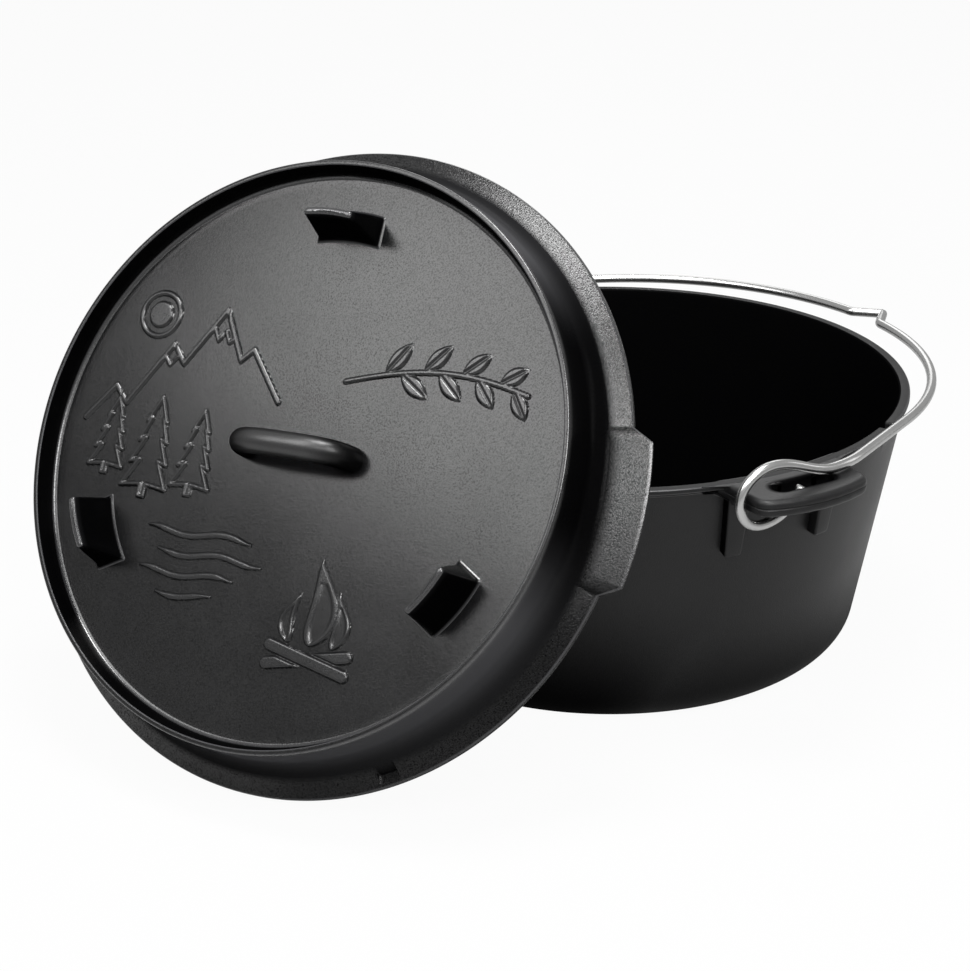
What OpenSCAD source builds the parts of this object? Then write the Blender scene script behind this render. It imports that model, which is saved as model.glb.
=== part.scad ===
// Camp dutch oven: flat-bottomed cast pot, cast lid standing against its side, wire bail.
// Millimetres, Z up, origin in the middle of the pot's flat bottom.

/* [Pot] */
// Outer radius of the rim
rim_r = 158; // [145:1:172]
// Height of the rim above the ground
pot_h = 138; // [122:1:156]
// Inner edge break of the rim
rim_brk = 0.6; // [0.4:0.1:1.2]
// Height of the bead round the rim
rim_band = 2.5; // [2:0.1:5]
// How far the rim bead stands out from the wall
rim_step = 1.5; // [0.8:0.1:2.5]
// Radius of the outer wall line at ground level
base_r = 130.4; // [120:0.2:136]
// Thickness of the side wall
wall_t = 4; // [3.6:0.2:6]
// Thickness of the floor
floor_t = 5.5; // [5:0.5:9]
// Rounding of the bottom edge
edge_r = 22; // [14:1:28]
// Bearing of the small rim notch
notch_az = -59; // [-80:1:-40]
// Width of the rim notch
notch_w = 8; // [5:0.5:12]
// Depth of the rim notch
notch_d = 5; // [3:0.5:7]

/* [Ears] */
// Reach of an ear beyond the rim
ear_reach = 29.5; // [27:0.5:34]
// Half width of an ear at its outer end
ear_half = 31.5; // [29:0.5:36]
// Thickness of an ear
ear_t = 8.5; // [7:0.5:10]
// Drop of the ear's top below the rim
ear_drop = 0.5; // [0:0.5:3]
// Radius of the ear's bowed front
ear_bow = 75; // [60:1:95]
// Rounding of the ear's outer corners
ear_corner = 8; // [5:0.5:10]
// Half length of the ear slot
slot_half = 17; // [15:0.5:19]
// Width of the ear slot
slot_w = 9.5; // [8.5:0.5:11]
// Width of a gusset rib under the ear
rib_w = 9; // [6:0.5:12]
// How far a rib stands out from the wall
rib_d = 5.5; // [3:0.5:8]
// Length of a rib below the ear
rib_len = 31; // [20:1:45]
// Half distance between the two ribs of an ear
rib_half = 26.5; // [22:0.5:30]

/* [Lid] */
// Outer radius of the flange
flange_r = 160; // [154:1:170]
// Height of the flange's plain edge
flange_edge = 3.5; // [2.5:0.5:5]
// Height of the flange where it meets the wall
flange_h = 9; // [7:0.5:12]
// Outer radius of the coal rim
coal_r = 143.6; // [136:0.2:148]
// Height of the coal rim above the flange
coal_h = 40.5; // [34:0.5:48]
// Width of the coal rim's top
coal_t = 4; // [3:0.5:6]
// Depth of the coal tray
tray_d = 11; // [8:0.5:15]
// Thickness of the lid
lid_t = 5; // [4.5:0.5:7]
// Depth of the locating lip under the flange
lip_d = 5; // [3:0.5:7]
// Play of the locating lip inside the pot
lip_play = 2; // [1:0.5:4]
// How far a grip lug stands out
lug_out = 8.6; // [5:0.2:12]
// Half angle of a lug at its outer edge
lug_ang = 11.7; // [8:0.1:16]
// Bearing of the flange notch
lid_notch_az = -62.5; // [-80:0.5:-45]
// Width of the flange notch
lid_notch_w = 11; // [7:0.5:14]

/* [Feet and handle] */
// Radius at which the feet stand
foot_r = 112; // [104:1:116]
// Height of a foot above the tray
foot_h = 25.5; // [23:0.5:32]
// Width of a foot at the tray
foot_w = 32; // [24:1:40]
// Width of a foot at its end
foot_end_w = 25; // [18:1:32]
// Thickness of a foot at the tray
foot_t = 14; // [10:0.5:18]
// Thickness of a foot at its end
foot_end_t = 3.2; // [2.6:0.2:6]
// Half span of the lid handle at the tray
grip_half = 30.2; // [26:0.2:38]
// Height of the handle's centre line above the tray
grip_h = 16.5; // [13:0.5:22]
// Thickness of the handle bar
grip_d = 12.6; // [10:0.2:15]

/* [Lid stand] */
// Tilt of the lid's axis from upright
lean = 57.1; // [52:0.1:64]
// Bearing of the lid's top face
lean_az = -150.2; // [-160:0.1:-140]
// Gap between the lid's flange plane and the pot rim
lean_gap = 9.4; // [8:0.2:20]
// Sideways offset of the lid along its own plane
lean_side = -63; // [-75:1:-50]
// Spin of the lid about its own axis
lean_spin = 3; // [-10:0.5:15]

/* [Bail] */
// Diameter of the bail wire
wire_d = 5; // [4:0.2:6]
// Radius of the bail's main arc
bail_r = 155; // [150:1:162]
// Bearing at which the arc runs straight
bail_turn = 63; // [58:0.5:68]
// Radius of the bend at each ear
bend_r = 30; // [20:1:40]
// Length of the straight run beside each ear
bend_run = 13; // [11:0.5:18]
// Half width of the middle kink
kink_half = 12.5; // [9:0.5:16]
// Height of the middle kink
kink_h = 12.5; // [8:0.5:16]
// Play between hook and ear
hook_play = 1.6; // [1:0.1:3]
// Bend radius where the wire rises into the hook
rise_r = 16; // [12:0.5:20]
// Radius of the hook's opening end
open_r = 25.5; // [22:0.5:28]
// Sweep of the hook's opening end
open_ang = 66; // [56:1:72]

/* [Fits] */
// Gap kept between pieces that rest on each other
rest_gap = 0.3; // [0.2:0.05:0.6]

/* [Hidden] */
$fn = 96;
// Overlap that joins forms of one casting
bite = 1.5;
// Reach of a cut past a face
past = 1;
// Small edge break
brk = 1;
// Pot wall
wall_top_r = rim_r - rim_step;
wall_a = atan2(wall_top_r - base_r, pot_h);
edge_x = base_r + edge_r * tan(wall_a) - edge_r / cos(wall_a);
edge_tx = edge_x + edge_r * cos(wall_a);
edge_tz = edge_r - edge_r * sin(wall_a);
band_z = pot_h - rim_band;
under_z = band_z - rim_step;
function wall_r(z) = base_r + z * tan(wall_a);
in_top_r = wall_top_r - wall_t / cos(wall_a);
in_r = edge_r - wall_t;
in_x = edge_x;
in_brk_r = in_top_r - rim_brk * tan(wall_a);
in_z = floor_t + in_r;
in_tx = in_x + in_r * cos(wall_a);
in_tz = in_z - in_r * sin(wall_a);
// Ears
ear_top = pot_h - ear_drop;
ear_bot = ear_top - ear_t;
ear_front = rim_r + ear_reach;
ear_cy = ear_front - ear_bow;
corner_x = ear_half - ear_corner;
corner_y = ear_cy + sqrt(pow(ear_bow - ear_corner, 2) - pow(corner_x, 2));
bow_x = corner_x * ear_bow / (ear_bow - ear_corner);
bow_y = ear_cy + sqrt(pow(ear_bow, 2) - pow(bow_x, 2));
slot_share = 0.41;
slot_y = rim_r + ear_reach * slot_share;
slot_r = slot_w / 2;
root_share = 0.1;
root_x = ear_half + ear_reach * root_share;
root_y = in_top_r + bite;
fillet_share = 0.4;
fillet_lift = 0.75;
fillet_r = ear_reach * fillet_share;
fillet_y = sqrt(pow(rim_r, 2) - pow(root_x + fillet_r, 2)) + fillet_r * fillet_lift;
root_in = sqrt(pow(in_top_r + rim_brk, 2) - pow(root_x + fillet_r, 2)) - bite;
// Lid heights above the flange's under side
tray_z = coal_h - tray_d;
ceil_z = tray_z - lid_t;
cove_share = 0.9;
cove_lap = 0.2;
cove_r = flange_h * cove_share;
wall_out = coal_r - brk;
cove_x = coal_r + brk + cove_r;
band_in = cove_x - cove_r * cove_lap;
tray_r = coal_r - coal_t - brk;
lip_r = min(in_top_r - lip_play, flange_r - past);
hollow_r = lip_r - lid_t;
hollow_draft = 0.4;
hollow_top = tray_r - lid_t * hollow_draft;
lug_r = flange_r + lug_out;
lug_taper = 2.6;
lug_root = lug_ang + lug_taper;
lug_over = 1.1;
lug_in = coal_r - coal_t;
foot_end_z = tray_z + foot_h;
grip_r = grip_d / 2;
grip_arc = (pow(grip_half, 2) + pow(grip_h, 2)) / (2 * grip_h);
grip_c = tray_z + grip_h - grip_arc;
grip_sink = 0.3;
grip_a = asin((grip_half + grip_r * grip_sink) / grip_arc);
// Lid stand
lid_z = flange_r * sin(lean);
lid_far = (rim_r * sin(lean) + pot_h * cos(lean) + lean_gap - lid_z * cos(lean)) / sin(lean);
// Bail
wire_r = wire_d / 2;
run_share = 0.98;
knot_share = 1.04;
tuck_share = 0.16;
run_r = wire_r * run_share;
knot_r = wire_r * knot_share;
tuck = wire_d * tuck_share;
leg_half = (ear_half - slot_half) / 2;
hinge_x = -(ear_half + slot_half) / 2;
hinge_z = ear_top - ear_t / 2;
hook_r = norm([leg_half, ear_t / 2]) + wire_r + hook_play;
bail_z = max(pot_h, ear_top) + rest_gap + wire_r;
turn_y = bail_r * sin(bail_turn);
run_len = (slot_y - turn_y - bend_r * (1 - sin(bail_turn))) / cos(bail_turn);
turn_dx = run_len * sin(bail_turn) + bend_r * cos(bail_turn);
rise_x = hinge_x + hook_r + rise_r + past;
arc_cx = rise_x + bend_run + turn_dx - bail_r * cos(bail_turn);
turn_x = arc_cx + bail_r * cos(bail_turn);
bend_x = rise_x + bend_run;
run_x = turn_x - run_len * sin(bail_turn);
run_y = turn_y + run_len * cos(bail_turn);
kink_a = asin(kink_half / bail_r);
kink_x = arc_cx + bail_r * cos(kink_a);
tip_x = kink_x + kink_h;
rise_z = bail_z + rise_r;
span = norm([rise_x - hinge_x, rise_z - hinge_z]);
line_a = atan2(rise_z - hinge_z, rise_x - hinge_x) + acos((rise_r + hook_r) / span);
rod_p = [hinge_x + hook_r * cos(line_a), hinge_z + hook_r * sin(line_a)];
rod_q = [rise_x - rise_r * cos(line_a), rise_z - rise_r * sin(line_a)];
open_z = hinge_z - hook_r + open_r;
tuck_a = tuck / open_r * 180 / PI;
tip_p = [hinge_x + open_r * cos(open_ang - 90), open_z + open_r * sin(open_ang - 90)];

// One casting: bowl, rim band, two slotted ears and four gusset ribs
module pot() {
  color([0.07, 0.07, 0.075])
  difference() {
    union() {
      rotate_extrude() pot_outside();
      for (s = [0, 180]) {
        rotate([0, 0, s]) ear();
        for (k = [-1, 1]) {
          rotate([0, 0, s]) rib(k);
        }
      }
    }
    rotate_extrude() pot_inside();
    rotate([0, 0, notch_az])
      translate([in_top_r - wall_t, -notch_w / 2, pot_h - notch_d])
        cube([wall_t * 4, notch_w, notch_d + past]);
  }
}

module pot_outside() {
  polygon([
    [0, 0], [edge_x, 0], [edge_tx, edge_tz],
    [wall_r(under_z), under_z], [rim_r, band_z],
    [rim_r, pot_h - brk], [rim_r - brk, pot_h], [0, pot_h]
  ]);
  translate([edge_x, edge_r]) circle(edge_r);
}

module pot_inside() {
  polygon([
    [0, floor_t], [in_x, floor_t], [in_tx, in_tz],
    [in_brk_r, pot_h - rim_brk], [in_top_r + rim_brk, pot_h],
    [in_top_r + rim_brk, pot_h + past], [0, pot_h + past]
  ]);
  translate([in_x, in_z]) circle(in_r);
}

// Horizontal loop ear at -Y
module ear() {
  translate([0, 0, ear_bot])
    linear_extrude(ear_t)
      difference() {
        union() {
          polygon([
            [-root_x, -root_in], [-root_x, -root_y], [-ear_half, -corner_y],
            [ear_half, -corner_y], [root_x, -root_y], [root_x, -root_in]
          ]);
          polygon([
            [-corner_x, -corner_y], [-bow_x, -bow_y], [bow_x, -bow_y], [corner_x, -corner_y]
          ]);
          intersection() {
            translate([0, -ear_cy]) circle(ear_bow);
            translate([-bow_x, -ear_front - past]) square([2 * bow_x, ear_front + past - corner_y]);
          }
          for (k = [-1, 1]) {
            translate([k * corner_x, -corner_y]) circle(ear_corner);
            difference() {
              translate([k * (root_x + fillet_r / 2 - bite), -fillet_y / 2 - root_in / 2])
                square([fillet_r + 2 * bite, fillet_y - root_in], center = true);
              translate([k * (root_x + fillet_r), -fillet_y]) circle(fillet_r);
            }
          }
        }
        for (k = [-1, 1]) {
          translate([k * (slot_half - slot_r), -slot_y]) circle(slot_r);
        }
        translate([-slot_half + slot_r, -slot_y - slot_r]) square([2 * (slot_half - slot_r), slot_w]);
        circle(in_top_r + rim_brk);
      }
}

// Upright gusset below the ear
module rib(k) {
  rib_bot = ear_bot - rib_len;
  rotate([0, 0, k * asin(rib_half / wall_r(ear_bot))])
    translate([rib_w / 2, 0, 0])
      rotate([90, 0, -90])
        linear_extrude(rib_w)
          polygon([
            [wall_r(rib_bot) - bite, rib_bot],
            [wall_r(rib_bot) + rib_d - brk, rib_bot],
            [wall_r(rib_bot) + rib_d, rib_bot + brk],
            [wall_r(ear_bot) + rib_d, ear_bot + bite],
            [wall_r(ear_bot) - bite, ear_bot + bite]
          ]);
}

// One casting: flange with two lugs, coal rim, tray, three feet and loop handle
module lid() {
  color([0.13, 0.13, 0.135])
  translate([lid_far * cos(lean_az), lid_far * sin(lean_az), lid_z])
    rotate([0, 0, lean_az])
      translate([0, lean_side, 0])
        rotate([0, lean, 0])
          rotate([0, 0, 90 + lean_spin])
            lid_flat();
}

module lid_flat() {
  difference() {
    union() {
      rotate_extrude() lid_outside();
      for (s = [0, 180]) {
        rotate([0, 0, s]) lug();
      }
      for (s = [90, 210, 330]) {
        rotate([0, 0, s]) foot();
      }
      grip();
    }
    rotate_extrude() lid_hollow();
    rotate([0, 0, lid_notch_az])
      translate([flange_r - flange_h, -lid_notch_w / 2, flange_edge - past])
        cube([flange_h * 2, lid_notch_w, flange_h * 2]);
  }
}

module lid_outside() {
  difference() {
    union() {
      polygon([
        [0, 0], [flange_r, 0], [flange_r, flange_edge], [band_in, flange_h],
        [wall_out, flange_h + cove_r], [wall_out, coal_h - brk * 2], [coal_r, coal_h - brk],
        [coal_r - brk, coal_h], [coal_r - coal_t, coal_h], [tray_r, tray_z], [0, tray_z]
      ]);
      polygon([
        [hollow_r - past, past], [lip_r - lid_t - past, -lip_d],
        [lip_r - brk, -lip_d], [lip_r, -lip_d + brk], [lip_r, past]
      ]);
    }
    translate([cove_x, flange_h + cove_r]) circle(cove_r);
  }
}

module lid_hollow() {
  polygon([
    [0, -lip_d - past], [hollow_r, -lip_d - past], [hollow_r, -lip_d],
    [hollow_top, ceil_z - lid_t], [hollow_top - lid_t, ceil_z], [0, ceil_z]
  ]);
}

// Grip lug at +X of the lid
module lug() {
  intersection() {
    linear_extrude(flange_h)
      polygon([
        [0, 0],
        [flange_r * cos(lug_root), -flange_r * sin(lug_root)],
        [lug_r * cos(lug_ang), -lug_r * sin(lug_ang)],
        [lug_r * lug_over, -lug_r * sin(lug_ang)],
        [lug_r * lug_over, lug_r * sin(lug_ang)],
        [lug_r * cos(lug_ang), lug_r * sin(lug_ang)],
        [flange_r * cos(lug_root), flange_r * sin(lug_root)]
      ]);
    rotate_extrude()
      polygon([[lug_in, 0], [lug_r, 0], [lug_r, flange_edge], [band_in, flange_h], [lug_in, flange_h]]);
  }
}

// Wedge foot standing on the tray at +X of the lid
module foot() {
  intersection() {
    translate([foot_r - foot_t, 0, 0])
      rotate([90, 0, 90])
        linear_extrude(foot_t * 2)
          polygon([
            [-foot_w / 2, tray_z - bite], [foot_w / 2, tray_z - bite],
            [foot_end_w / 2, foot_end_z], [-foot_end_w / 2, foot_end_z]
          ]);
    translate([0, foot_w, 0])
      rotate([90, 0, 0])
        linear_extrude(foot_w * 2)
          polygon([
            [foot_r - foot_t / 2, tray_z - bite], [foot_r + foot_t / 2, tray_z - bite],
            [foot_r + foot_end_t / 2, foot_end_z], [foot_r - foot_end_t / 2, foot_end_z]
          ]);
  }
}

// Loop handle along X of the lid
module grip() {
  translate([0, 0, grip_c])
    rotate([90, 0, 0])
      rotate([0, 0, 90 - grip_a])
        rotate_extrude(angle = 2 * grip_a)
          translate([grip_arc, 0]) circle(grip_r);
}

// One bent wire: main arc with a kink, two arms and two hooks
module bail() {
  color([0.78, 0.79, 0.8])
  union() {
    bail_half();
    mirror([0, 1, 0]) bail_half();
    knot([tip_x, 0, bail_z]);
  }
}

// Arcs have the full wire size; the runs between them are a hair thinner and end inside the arcs
module bail_half() {
  translate([arc_cx, 0, bail_z])
    rotate([0, 0, kink_a])
      rotate_extrude(angle = bail_turn - kink_a)
        translate([bail_r, 0]) circle(wire_r);
  knot([kink_x, kink_half, bail_z]);
  rod([kink_x, kink_half, bail_z], [tip_x, 0, bail_z], 0);
  rod([turn_x, turn_y, bail_z], [run_x, run_y, bail_z], tuck);
  translate([bend_x, slot_y - bend_r, bail_z])
    rotate([0, 0, bail_turn])
      rotate_extrude(angle = 90 - bail_turn)
        translate([bend_r, 0]) circle(wire_r);
  rod([bend_x, slot_y, bail_z], [rise_x, slot_y, bail_z], tuck);
  translate([0, slot_y, 0]) hook();
}

// Hook in the plane across the ear's leg
module hook() {
  swing([rise_x, rise_z], rise_r, 180 + line_a, 270, wire_r);
  rod([rod_q[0], 0, rod_q[1]], [rod_p[0], 0, rod_p[1]], tuck);
  swing([hinge_x, hinge_z], hook_r, line_a, 270, wire_r);
  swing([hinge_x, open_z], open_r, 270 - tuck_a, 270 + open_ang, run_r);
}

// Wire arc in an upright plane about a centre, from one angle to another
module swing(c, r, a, b, thick) {
  translate([c[0], 0, c[1]])
    rotate([90, 0, 0])
      rotate([0, 0, a])
        rotate_extrude(angle = b - a)
          translate([r, 0]) circle(thick);
}

// Straight wire between two points, longer at both ends
module rod(p, q, more) {
  d = q - p;
  e = d / norm(d);
  translate(p - more * e)
    rotate([0, acos(e[2]), atan2(e[1], e[0])])
      cylinder(h = norm(d) + 2 * more, r = run_r);
}

// Rounded corner where two runs of the wire meet at an angle
module knot(p) {
  translate(p) sphere(knot_r);
}

pot();
lid();
bail();
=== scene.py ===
"""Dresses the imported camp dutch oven: cast pot, cast lid standing against it, and wire bail."""

import math

import bpy
import numpy as np
from bpy.props import FloatProperty, FloatVectorProperty, PointerProperty
from mathutils import Matrix


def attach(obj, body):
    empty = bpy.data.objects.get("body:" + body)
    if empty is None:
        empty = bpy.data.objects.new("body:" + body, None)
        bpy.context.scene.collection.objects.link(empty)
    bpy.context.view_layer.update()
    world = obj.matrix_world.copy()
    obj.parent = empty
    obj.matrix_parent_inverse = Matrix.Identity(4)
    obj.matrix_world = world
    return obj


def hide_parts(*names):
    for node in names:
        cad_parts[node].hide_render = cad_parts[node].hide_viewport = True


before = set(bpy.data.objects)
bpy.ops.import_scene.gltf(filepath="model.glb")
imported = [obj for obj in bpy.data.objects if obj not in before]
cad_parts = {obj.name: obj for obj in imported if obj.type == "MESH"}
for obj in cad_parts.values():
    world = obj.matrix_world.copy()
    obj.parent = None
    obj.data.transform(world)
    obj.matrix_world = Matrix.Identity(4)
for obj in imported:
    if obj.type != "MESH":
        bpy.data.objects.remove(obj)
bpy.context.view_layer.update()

bl_info = {
    "name": "Camp Oven Dresser",
    "version": (1, 0, 0),
    "blender": (4, 5, 0),
    "location": "3D View > Sidebar > Camp Oven",
    "description": "Builds the cast surfaces, the wire bail and the studio stage of a camp oven",
    "category": "Object",
}

SAME_POINT = 1e-7  # distance in metres below which two points are one
POLE_RING = 0.004  # radius of the ring next to a pole on an axis
PHOTO_WIDTH = 970  # width of the picture in pixels
FOCAL_PIXELS = 2468.84  # focal length in pixels of that picture
SENSOR = 36.0  # width of the camera's sensor in millimetres

# Bump depth in metres, middle roughness, index of refraction and share of dark sand pits
IRONS = {
    "seasoned_pot_iron": (0.00014, 0.42, 1.37, 0.05),
    "seasoned_lid_iron": (0.00005, 0.18, 1.50, 0.4),
    "smooth_handle_iron": (0.00007, 0.33, 1.72, 0.1),
}

# Share of the dull black finish by place, from 0 for oiled iron to 1 for dull black. It is painted shade
# inside the pot, in the ear slots, cove, notch and lug creases, on the tray wall and the feet, under the
# handle and at its ends, on shaded sides and on the rim top; the pot also darkens towards its bottom
SOOT_AND_SHADE = {
    "pot inside": 0.96, "pot bottom": 0.65, "rim top": 0.4, "wall beside the lid": 0.92,
    "ear slot": 0.9, "left rib": 0.9, "right rib": 0.35,
    "cove": 0.94, "tray wall": 0.94, "low flange": 0.5, "lug root": 0.75, "flange notch": 0.92,
    "foot": 0.96, "handle end": 0.8, "handle underside": 0.85,
}

# Bearing on the lid in degrees, distance from its axis and share of the end faces of each foot left without
# painted shade
FEET = (("top", 90.0, 0.1136, 0.0), ("left", 207.6, 0.1122, 0.0), ("right", 329.4, 0.1104, 0.45))

# Place, target, size in metres and radiance of each lamp
LAMPS = {
    "lamp_over": ((-0.09, -0.09, 1.5), (-0.09, -0.08, 0.2), (0.50, 0.48), 27.0),
    "lamp_front": ((-0.21, -1.02, 1.10), (0.0, -0.15, 0.13), (0.44, 0.70), 15.0),
    "lamp_corner": ((-0.74, -0.72, 0.99), (-0.09, -0.17, 0.15), (0.5, 0.5), 3.8),
    "lamp_left": ((-0.99, 0.02, 1.13), (-0.2, -0.04, 0.15), (0.52, 0.80), 5.6),
    "lamp_right": ((1.2, -0.5, 0.6), (0.05, 0.0, 0.1), (0.3, 0.7), 1.6),
    "lamp_back": ((0.75, 0.95, 0.85), (0.0, 0.1, 0.1), (0.6, 0.6), 2.0),
}


def length(name, default, description):
    """A length property in metres."""
    return FloatProperty(name=name, description=description, default=default, min=0.0, unit="LENGTH")


def bearing(name, degrees, description):
    """An angle property, written in degrees and kept in radians."""
    return FloatProperty(
        name=name, description=description, default=math.radians(degrees), unit="ROTATION"
    )


def tone(name, default, description):
    """A colour property, linear red, green and blue."""
    return FloatVectorProperty(
        name=name, description=description, default=default, min=0.0, max=1.0, subtype="COLOR"
    )


class PotSizes(bpy.types.PropertyGroup):
    """Sizes of the pot casting."""

    rim_radius: length("Rim radius", 0.158, "Outer radius of the rim")
    height: length("Height", 0.138, "Height of the rim above the ground")
    band: length("Rim bead", 0.0025, "Height of the bead round the rim")
    step: length("Bead step", 0.0015, "How far the bead stands out from the wall")
    base_radius: length("Base radius", 0.1304, "Radius of the outer wall line at ground level")
    wall: length("Wall", 0.004, "Thickness of the side wall")
    floor: length("Floor", 0.0055, "Thickness of the floor")
    edge: length("Bottom edge", 0.022, "Rounding of the bottom edge")
    notch_bearing: bearing("Notch bearing", -59.0, "Bearing of the small rim notch")
    notch_width: length("Notch width", 0.008, "Width of the rim notch")
    notch_depth: length("Notch depth", 0.005, "Depth of the rim notch")
    # Painted shadow of the lid on the low wall, darkest at this bearing
    painted_shade_bearing: bearing("Soot bearing", -139.0, "Bearing at which the low wall is sooted most")


class EarSizes(bpy.types.PropertyGroup):
    """Sizes of the ears and of the ribs below them."""

    reach: length("Reach", 0.0295, "Reach of an ear beyond the rim")
    half: length("Half width", 0.0315, "Half width of an ear at its outer end")
    thick: length("Thickness", 0.0085, "Thickness of an ear")
    drop: length("Drop", 0.0005, "Drop of the ear's top below the rim")
    bow: length("Front bow", 0.075, "Radius of the ear's bowed front")
    slot_half: length("Slot half length", 0.017, "Half length of the ear slot")
    slot_width: length("Slot width", 0.0095, "Width of the ear slot")
    rib_width: length("Rib width", 0.0115, "Width of a rib below the ear")
    rib_depth: length("Rib depth", 0.0055, "How far a rib stands out from the wall")
    rib_length: length("Rib length", 0.031, "Length of a rib below the ear")
    rib_half: length("Rib half distance", 0.0265, "Half distance between the two ribs of an ear")


class LidSizes(bpy.types.PropertyGroup):
    """Sizes of the lid casting and the way it stands."""

    flange_radius: length("Flange radius", 0.160, "Outer radius of the flange")
    flange_width: length("Flange width", 0.0100, "Width of the flange's sloping top")
    flange_edge: length("Flange edge", 0.0035, "Height of the flange's plain edge")
    flange_height: length("Flange height", 0.009, "Height of the flange where it meets the wall")
    coal_radius: length("Coal rim radius", 0.1436, "Outer radius of the coal rim")
    coal_height: length("Coal rim height", 0.0400, "Height of the coal rim above the flange")
    coal_thick: length("Coal rim width", 0.004, "Width of the coal rim half way up")
    tray_depth: length("Tray depth", 0.011, "Depth of the coal tray")
    thick: length("Thickness", 0.005, "Thickness of the lid")
    lip: length("Lip", 0.005, "Depth of the locating lip under the flange")
    lip_radius: length("Lip radius", 0.1487, "Outer radius of the locating lip")
    lug_out: length("Lug reach", 0.0086, "How far a grip lug stands out")
    lug_half: bearing("Lug half angle", 11.7, "Half angle of a lug at its outer edge")
    lug_root: bearing("Lug root angle", 14.3, "Half angle of a lug where it meets the flange")
    lug_fall: FloatProperty(
        name="Lug fall", description="Fall of a lug's top as a share of how far it stands out",
        default=0.25, min=0.0, max=1.0, subtype="FACTOR",
    )
    # Painted shade: the cove is painted blackest at this bearing and opposite it
    cove_bearing: bearing("Cove bearing", 12.0, "Bearing at which the cove is blackest, and opposite it")
    # Painted shade on the flange's low side, darkest at this bearing
    painted_shade_bearing: bearing("Soot bearing", -50.0, "Bearing at which the flange is sooted most")
    notch_bearing: bearing("Notch bearing", -62.5, "Bearing of the flange notch")
    notch_width: length("Notch width", 0.011, "Width of the flange notch")
    foot_bend: length("Foot bend", 0.085, "Radius to which a foot is bent round the lid's axis")
    foot_height: length("Foot height", 0.0255, "Height of a foot above the tray")
    foot_width: length("Foot width", 0.0325, "Width of a foot at the tray")
    foot_end_width: length("Foot end width", 0.0255, "Width of a foot at its end")
    foot_thick: length("Foot thickness", 0.0135, "Thickness of a foot at the tray")
    foot_end_thick: length("Foot end thickness", 0.0031, "Thickness of a foot at its end")
    grip_half: length("Handle half span", 0.0290, "Half span of the handle at the tray")
    grip_height: length("Handle height", 0.0170, "Height of the handle's centre line")
    grip_shift: length("Handle shift", 0.0015, "How far the handle sits above the middle of the tray")
    grip_thick: length("Handle thickness", 0.0126, "Thickness of the handle bar")
    relief: length("Relief", 0.0014, "Height of the raised pictures on the tray")
    lean: bearing("Lean", 57.1, "Tilt of the lid's axis from upright")
    lean_bearing: bearing("Lean bearing", -150.2, "Bearing of the lid's top face")
    lean_gap: length("Lean gap", 0.0094, "Gap between the flange plane and the pot rim")
    lean_side: FloatProperty(
        name="Side offset", description="Offset of the lid along its own plane",
        default=-0.063, unit="LENGTH",
    )
    spin: bearing("Spin", 3.0, "Spin of the lid about its own axis")


class BailSizes(bpy.types.PropertyGroup):
    """Sizes of the bent wire."""

    wire: length("Wire", 0.005, "Diameter of the bail wire")
    radius: length("Arc radius", 0.155, "Radius of the bail's main arc")
    turn: bearing("Turn", 63.0, "Bearing at which the arc runs straight")
    bend: length("Bend", 0.060, "Radius of the bend beyond each ear")
    start: length("Bend start", 0.0353, "Distance from the hinge at which that bend starts")
    loop_height: length("Loop height", 0.0162, "Height of the hook's loop above the hinge")
    loop_shift: length("Loop shift", 0.0065, "How far the loop's top leans beyond the hinge")
    fall: length("Fall", 0.036, "Length over which the wire falls from the loop to the rim")
    kink_half: length("Kink half width", 0.0125, "Half width of the middle kink")
    kink_height: length("Kink height", 0.0125, "Height of the middle kink")
    play: length("Hook play", 0.0016, "Play between hook and ear")
    opening: length("Hook opening", 0.0255, "Radius of the hook's opening end")
    opening_sweep: bearing("Opening sweep", 66.0, "Sweep of the hook's opening end")
    gap: length("Rest gap", 0.0003, "Gap between the wire and the rim it lies on")


class Finishes(bpy.types.PropertyGroup):
    """Colours of the finishes."""

    iron: tone("Iron", (0.0022, 0.0022, 0.0024), "Seasoned black iron")
    iron_worn: tone("Worn iron", (0.022, 0.022, 0.0226), "Iron where the seasoning is thin")
    # Grey of the dull finish where it is worn, and painted light on the cove
    ash_and_painted_light: tone("Ash", (0.055, 0.055, 0.058), "Dull grey ash film under the coal rim")
    # Painted shade: this dull black is put in hollows, creases, under parts and on shaded sides
    soot_and_shade: tone("Soot", (0.0008, 0.0008, 0.0009), "Dull black soot in the hollows")
    steel: tone("Wire", (0.50, 0.50, 0.495), "Bright drawn wire")
    ground: tone("Floor", (0.45, 0.45, 0.45), "Studio floor")


SIZES = {
    "oven_pot": PotSizes,
    "oven_ear": EarSizes,
    "oven_lid": LidSizes,
    "oven_bail": BailSizes,
    "oven_finish": Finishes,
}


# Surfaces


def unit(vectors):
    """The vectors, each brought to length 1."""
    return vectors / np.linalg.norm(vectors, axis=-1, keepdims=True)


def run_along(path):
    """Distance of each point of a path from its start, measured along the path."""
    return np.append(0, np.cumsum(np.linalg.norm(np.diff(path, axis=0), axis=1)))


def smooth(value, low, high):
    """0 below low, 1 above high, and a smooth step between."""
    t = np.clip((value - low) / (high - low), 0, 1)
    return t * t * (3 - 2 * t)


def toward(cosine, full, none):
    """1 where an angle, given by its cosine, is under full degrees, falling to 0 at none degrees."""
    return smooth(cosine, math.cos(math.radians(none)), math.cos(math.radians(full)))


def wrapped(angle):
    """The same bearings between -pi and pi."""
    return np.angle(np.exp(1j * angle))


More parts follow.
